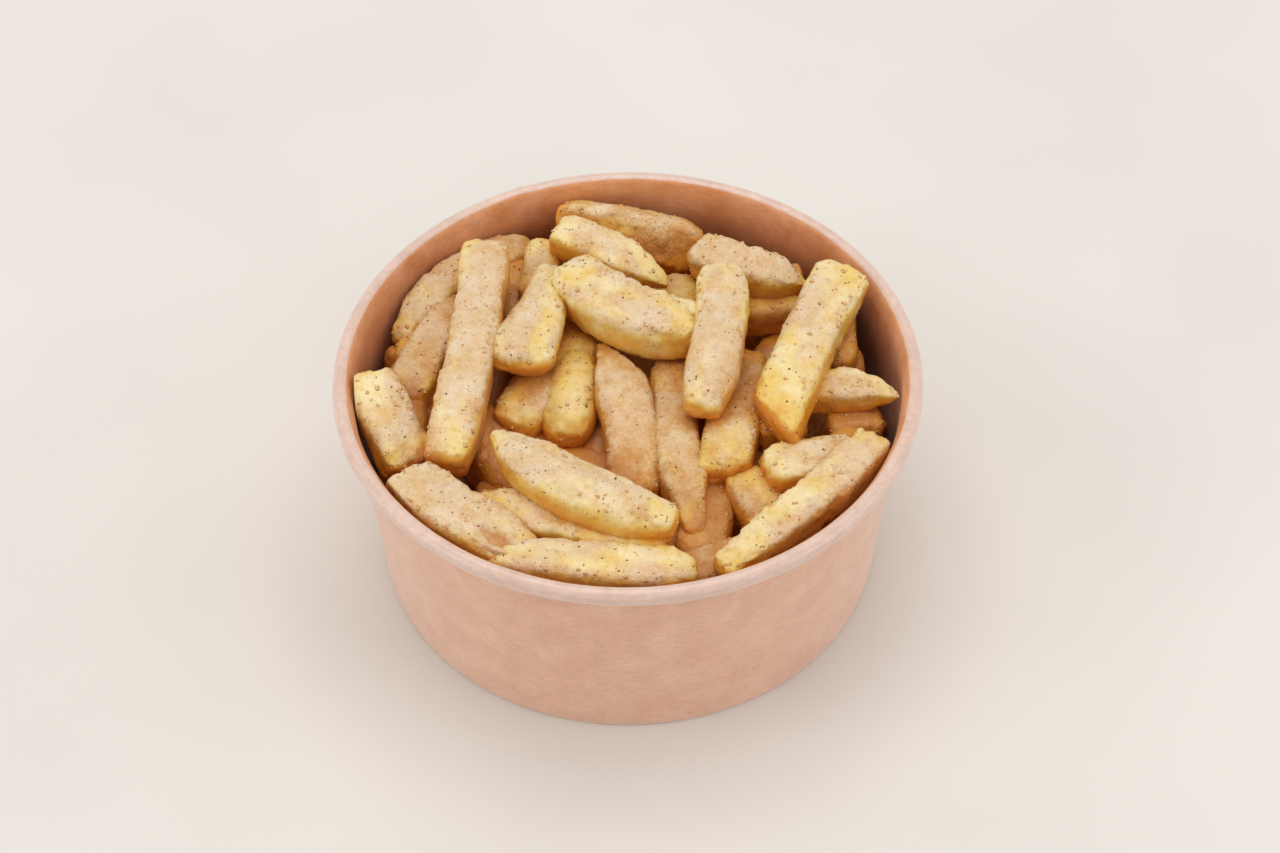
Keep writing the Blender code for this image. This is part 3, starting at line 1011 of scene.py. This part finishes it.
    def groove(
        self, split: Split, flat: np.ndarray, share: np.ndarray, fry: Fry, places: np.ndarray
    ) -> np.ndarray:
        """Depth of one crack at every point of a fry.

        Args:
            split: The crack.
            flat: The section's points, as shares of its half sizes.
            share: Each ring's share of the length.
            fry: The fry.
            places: Noise coordinates of its points, in millimetres.

        Returns:
            Millimetres below the skin.
        """
        angle = np.degrees(np.arctan2(flat[:, 1], -flat[:, 0])) % 360
        off = np.abs((angle - split.angle + 180) % 360 - 180)
        arc = np.tile(np.radians(off), len(share)) * (fry.wide + fry.deep) / 4
        arc = np.abs(arc + self.noise.fractal(places + 13.0, 4.0, 2) * 1.1)
        across = 1 - smoothstep(split.wide * 0.35, split.wide, arc)
        along = smoothstep(split.start, split.start + 0.08, share) * (
            1 - smoothstep(split.end - 0.08, split.end, share)
        )
        return across * np.repeat(along, len(flat)) * split.deep

    def inside_wall(self, points: np.ndarray) -> np.ndarray:
        """Press the points that would cross the bowl's wall back against it.

        Args:
            points: Rows of three, in millimetres.

        Returns:
            A copy with those points moved.
        """
        height = np.clip(points[:, 2], 0, self.bowl.height - self.bowl.rim_high)
        limit = self.bowl.wall_radius(height) - self.bowl.board - self.wall_gap
        reach = np.hypot(points[:, 0], points[:, 1])
        shrink = np.minimum(1, limit / np.maximum(reach, 1e-6))
        pressed = points.copy()
        pressed[:, :2] *= shrink[:, None]
        return pressed

    def paint_hollow_shade(self, skins: Sequence[Solid]) -> None:
        """Find how closed in every point of the heap is, and paint it warmer, browner and more golden there.

        This is painted shade in the hollows between the fries, and in the low parts of the heap.

        Args:
            skins: All skins of the heap, whose values are changed in place.
        """
        cell, half = 0.7, 76.0  # millimetres of a cell of the height map, and of half the map
        side = int(2 * half / cell)
        heights = np.full((side, side), self.ring_height - 8)
        directions = 12

        def cells(points: np.ndarray) -> tuple[np.ndarray, np.ndarray]:
            """Find the cells of the height map that points lie over."""
            place = np.clip(((points[:, :2] + half) / cell).astype(int), 0, side - 1)
            return place[:, 0], place[:, 1]

        for skin in skins:
            np.maximum.at(heights, cells(skin.points), skin.points[:, 2])
        for skin in skins:
            hollow_shade = np.zeros(len(skin.points))
            for turn in np.arange(directions) * 2 * math.pi / directions:
                horizon = np.zeros(len(skin.points))
                for distance in (1.5, 3.0, 5.0, 8.0, 12.0, 17.0):
                    shift = np.array([math.cos(turn), math.sin(turn), 0.0]) * distance
                    rise = heights[cells(skin.points + shift)] - skin.points[:, 2] - 0.4
                    horizon = np.maximum(horizon, rise / distance)
                hollow_shade += 1 - 1 / (1 + horizon**2)
            hollow_shade /= directions
            # Painted shade: the lower a point lies in the heap, the more golden and brown it is painted
            low = 1 - smoothstep(47.0, 59.0, skin.points[:, 2])
            skin.values["tone"] = np.clip(skin.values["tone"] + 0.9 * (hollow_shade - 0.15) + 0.45 * low, 0, 1.5)
            skin.values["toast_and_shade"] = np.clip(skin.values["toast_and_shade"] + 1.0 * (hollow_shade - 0.25) + 0.3 * low, 0, 1.5)

    def build(self) -> None:
        """Make every group of fries and the core."""
        seed, made = 100, {}
        for name, fries in FRIES.items():
            made[name] = [self.surface(fry, seed + i, self.fine_mm) for i, fry in enumerate(fries)]
            seed += 20
        below = enumerate(self.ring() + self.bed())
        made["fries_under"] = [self.surface(fry, 300 + i, self.coarse_mm) for i, fry in below]
        self.paint_hollow_shade([skin for skins in made.values() for skin in skins])
        for name, skins in made.items():
            dressed(joined(skins).object(name, (self.finish,)), "fries")
            self.surfaces += skins if name != "fries_under" else skins[: len(self.ring_angles)]
        dressed(self.core().object("fries_core", (self.finish,)), "fries")

    def core(self) -> Solid:
        """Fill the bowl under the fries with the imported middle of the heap, which has a lumpy crown.

        Returns:
            A closed mesh.
        """
        rings, count = 60, 180
        outline = np.array(
            [(0.3, 6.9), (62.6, 6.9), (63.6, 9.0), (66.0, 28.0), (63.0, 33.0), (45.0, 37.0), (20.0, 38.5),
             (0.3, 38.5)]
        )
        walked = np.concatenate([[0], np.cumsum(np.hypot(*np.diff(outline, axis=0).T))])
        even = np.linspace(0, walked[-1], rings)
        line = np.stack([np.interp(even, walked, outline[:, i]) for i in (0, 1)], axis=1)
        points = turned(line, count).transpose(1, 0, 2).reshape(-1, 3)
        lumps = np.clip(self.noise.fractal(points, 9.0, 3), -1, 1)
        free = smoothstep(26.0, 34.0, points[:, 2])
        points[:, 2] += lumps * 2.2 * free
        points = self.inside_wall(points)
        ones = np.ones(len(points))
        # The core is painted in the darkest golden brown, as painted shade deep in the heap
        values = {"coat": ones * 0.6, "toast_and_shade": ones * 1.0, "tone": ones * 1.0, "edge": ones * 0}
        return Solid(points, grid_faces(rings, count), values)


# Seasoning and crumbs


@dataclass
class Scatter:
    """Small grains that lie on the fries, each an irregular low solid pressed into the crust."""

    name: str
    count: int
    small: float
    large: float
    flatness: float
    seed: int
    edge_share: float = 0.0  # 0 puts them anywhere, 1 only on edges and ends
    highest: float = 71.0  # the very top of the heap stays bare

    GIRDLE = ((1, 0, 0), (0.35, 0.9, 0), (-0.75, 0.6, 0), (-0.8, -0.55, 0), (0.3, -0.95, 0))
    CORNERS = np.array(GIRDLE + ((0, 0, 1), (0, 0, -1)), float)
    ABOVE = [(i, (i + 1) % 5, 5, -1) for i in range(5)]
    BELOW = [((i + 1) % 5, i, 6, -1) for i in range(5)]
    FACES = np.array(ABOVE + BELOW)

    def build(self, surfaces: Sequence[Solid], finish: bpy.types.Material) -> bpy.types.Object:
        """Strew the grains.

        Args:
            surfaces: Skins they may lie on.
            finish: Their material.

        Returns:
            The joined piece.
        """
        draw = np.random.default_rng(self.seed)
        tops, normals, weights = [], [], []
        for skin in surfaces:
            a, b, c, _ = (skin.points[skin.quads[:, i]] for i in range(4))
            cross = np.cross(b - a, c - a)
            area = np.linalg.norm(cross, axis=1)
            normal = cross / np.maximum(area, 1e-9)[:, None]
            edge = skin.values["edge"][skin.quads[:, 0]]
            seen = smoothstep(-0.1, 0.6, normal[:, 2]) * smoothstep(38.0, 46.0, a[:, 2])
            seen = seen * (a[:, 2] < self.highest)
            tops.append((a + c) / 2)
            normals.append(normal)
            weights.append(area * seen * (1 - self.edge_share + self.edge_share * edge**2))
        place, normal, weight = (np.concatenate(parts) for parts in (tops, normals, weights))
        pick = draw.choice(len(place), self.count, p=weight / weight.sum())
        size = self.small + (self.large - self.small) * draw.uniform(0, 1, self.count) ** 2.5
        out = normal[pick]
        side = np.cross(out, draw.normal(size=(self.count, 3)))
        side /= np.linalg.norm(side, axis=1)[:, None]
        third = np.cross(out, side)
        shape = self.CORNERS[None] * draw.uniform(0.6, 1.25, (self.count, len(self.CORNERS), 1))
        high = size * self.flatness
        shape = shape * np.stack([size, size * draw.uniform(0.5, 1, self.count), high], 1)[:, None]
        points = place[pick][:, None, :] + out[:, None, :] * (high * 0.25)[:, None, None]
        points = points + shape[..., :1] * side[:, None] + shape[..., 1:2] * third[:, None]
        points = points + shape[..., 2:] * out[:, None]
        quads = self.FACES[None] + np.arange(self.count)[:, None, None] * len(self.CORNERS)
        quads[..., 3] = -1
        piece = Solid(points.reshape(-1, 3), quads.reshape(-1, 4)).object(self.name, (finish,))
        return dressed(piece, "fries")


# Light, floor and camera


@dataclass
class Studio:
    """A pale floor, soft light from above and a camera at the photograph's angle."""

    target: Point = (2.96, 0.0, 41.8)
    distance: float = 839.3
    elevation: float = 47.2
    roll: float = -0.41
    lens_mm: float = 91.4
    sensor_mm: float = 36.0

    def camera(self) -> None:
        """Make the camera from its distance and elevation over the object."""
        rise, roll = math.radians(self.elevation), math.radians(self.roll)
        forward = Vector((0, math.cos(rise), -math.sin(rise)))
        data = bpy.data.cameras.new("camera")
        data.lens, data.sensor_width = self.lens_mm, self.sensor_mm
        data.clip_start, data.clip_end = 0.01, 20
        camera = bpy.data.objects.new("camera", data)
        place = (Vector(self.target) - forward * self.distance) * MM
        tilt = Matrix.Rotation(math.pi / 2 - rise, 4, "X") @ Matrix.Rotation(roll, 4, "Z")
        camera.matrix_world = Matrix.Translation(place) @ tilt
        bpy.context.scene.collection.objects.link(camera)
        bpy.context.scene.camera = camera

    def lamp(self, name: str, place: Point, watts: float, colour: str, size: float = 0.8) -> None:
        """Add a square soft light that faces the heap.

        Args:
            name: Its name.
            place: Where it stands, in metres.
            watts: Its power.
            colour: Its sRGB hex colour.
            size: Its side in metres.
        """
        data = bpy.data.lights.new(name, "AREA")
        data.shape, data.size, data.energy = "SQUARE", size, watts
        data.color = linear(colour)[:3]
        lamp = bpy.data.objects.new(name, data)
        lamp.location = place
        aim = Vector((0, 0, 0.04)) - Vector(place)
        lamp.rotation_euler = aim.to_track_quat("-Z", "Y").to_euler()
        bpy.context.scene.collection.objects.link(lamp)

    def build(self, floor_finish: bpy.types.Material) -> None:
        """Make the floor, the lights, the surrounding light and the camera."""
        bpy.ops.mesh.primitive_plane_add(size=6.0, location=(0, 0, 0))
        floor = bpy.context.object
        floor.name = "floor"
        floor.data.materials.append(floor_finish)
        self.lamp("overhead_softbox", (-0.05, 0.22, 1.15), 4.1, "#FFFDF8")
        self.lamp("left_fill", (-1.1, -0.35, 0.55), 3.2, "#FFFAF6")
        self.lamp("right_fill", (1.1, -0.35, 0.55), 3.0, "#FFFAF6")
        world = bpy.data.worlds.new("studio")
        world.use_nodes = True
        background = world.node_tree.nodes["Background"]
        background.inputs["Color"].default_value = linear("#F6F3EF")
        background.inputs["Strength"].default_value = 0.83
        bpy.context.scene.world = world
        bpy.context.scene.view_settings.view_transform = "Standard"
        self.camera()


def main() -> None:
    """Build the whole dressed object, piece by piece."""
    logging.basicConfig(level=logging.INFO, format="%(message)s")
    outside = KraftPaperboard("kraft_board_outside", "#E0B499", "#DBAC90", "#D5A487", 0.78, sheen=0.5)
    # The rim's colours are paler and less saturated than the outside: partly the coated face, partly a
    # painted highlight along the roll
    rim = KraftPaperboard("kraft_board_rim", "#D9BBAC", "#D6B7A8", "#D1B0A0", 0.34, sheen=0.4, gloss=0.8)
    # The inside colours are darker and more orange than the outside: partly the coated face, partly painted
    # shade and painted warm bounce light
    inside = KraftPaperboard("kraft_board_inside", "#DFA37C", "#D69668", "#CC8856", 0.45, shaded_low=True)
    bowl = PaperBowl()
    bowl.build(outside.material(), inside.material(), rim.material())
    potato = FriedPotato().material()
    heap = FryHeap(bowl, potato)
    heap.build()
    pepper = DryGrains("cracked_pepper", "#50341A", "#26160A").material()
    paprika = DryGrains("ground_paprika", "#B4622F", "#7C3A1C").material()
    crumb = DryGrains("fried_flour_crumb", "#E6C08C", "#CC9450", roughness=0.6).material()
    Scatter("pepper", 1100, small=0.1, large=0.36, flatness=0.5, seed=71).build(heap.surfaces, pepper)
    Scatter("paprika", 1100, small=0.1, large=0.42, flatness=0.45, seed=72).build(heap.surfaces, paprika)
    crumbs = Scatter("crumbs", 4200, small=0.15, large=0.8, flatness=0.45, seed=73, edge_share=0.85)
    crumbs.build(heap.surfaces, crumb)
    Studio().build(StudioFloor().material())


if __name__ == "__main__":
    main()
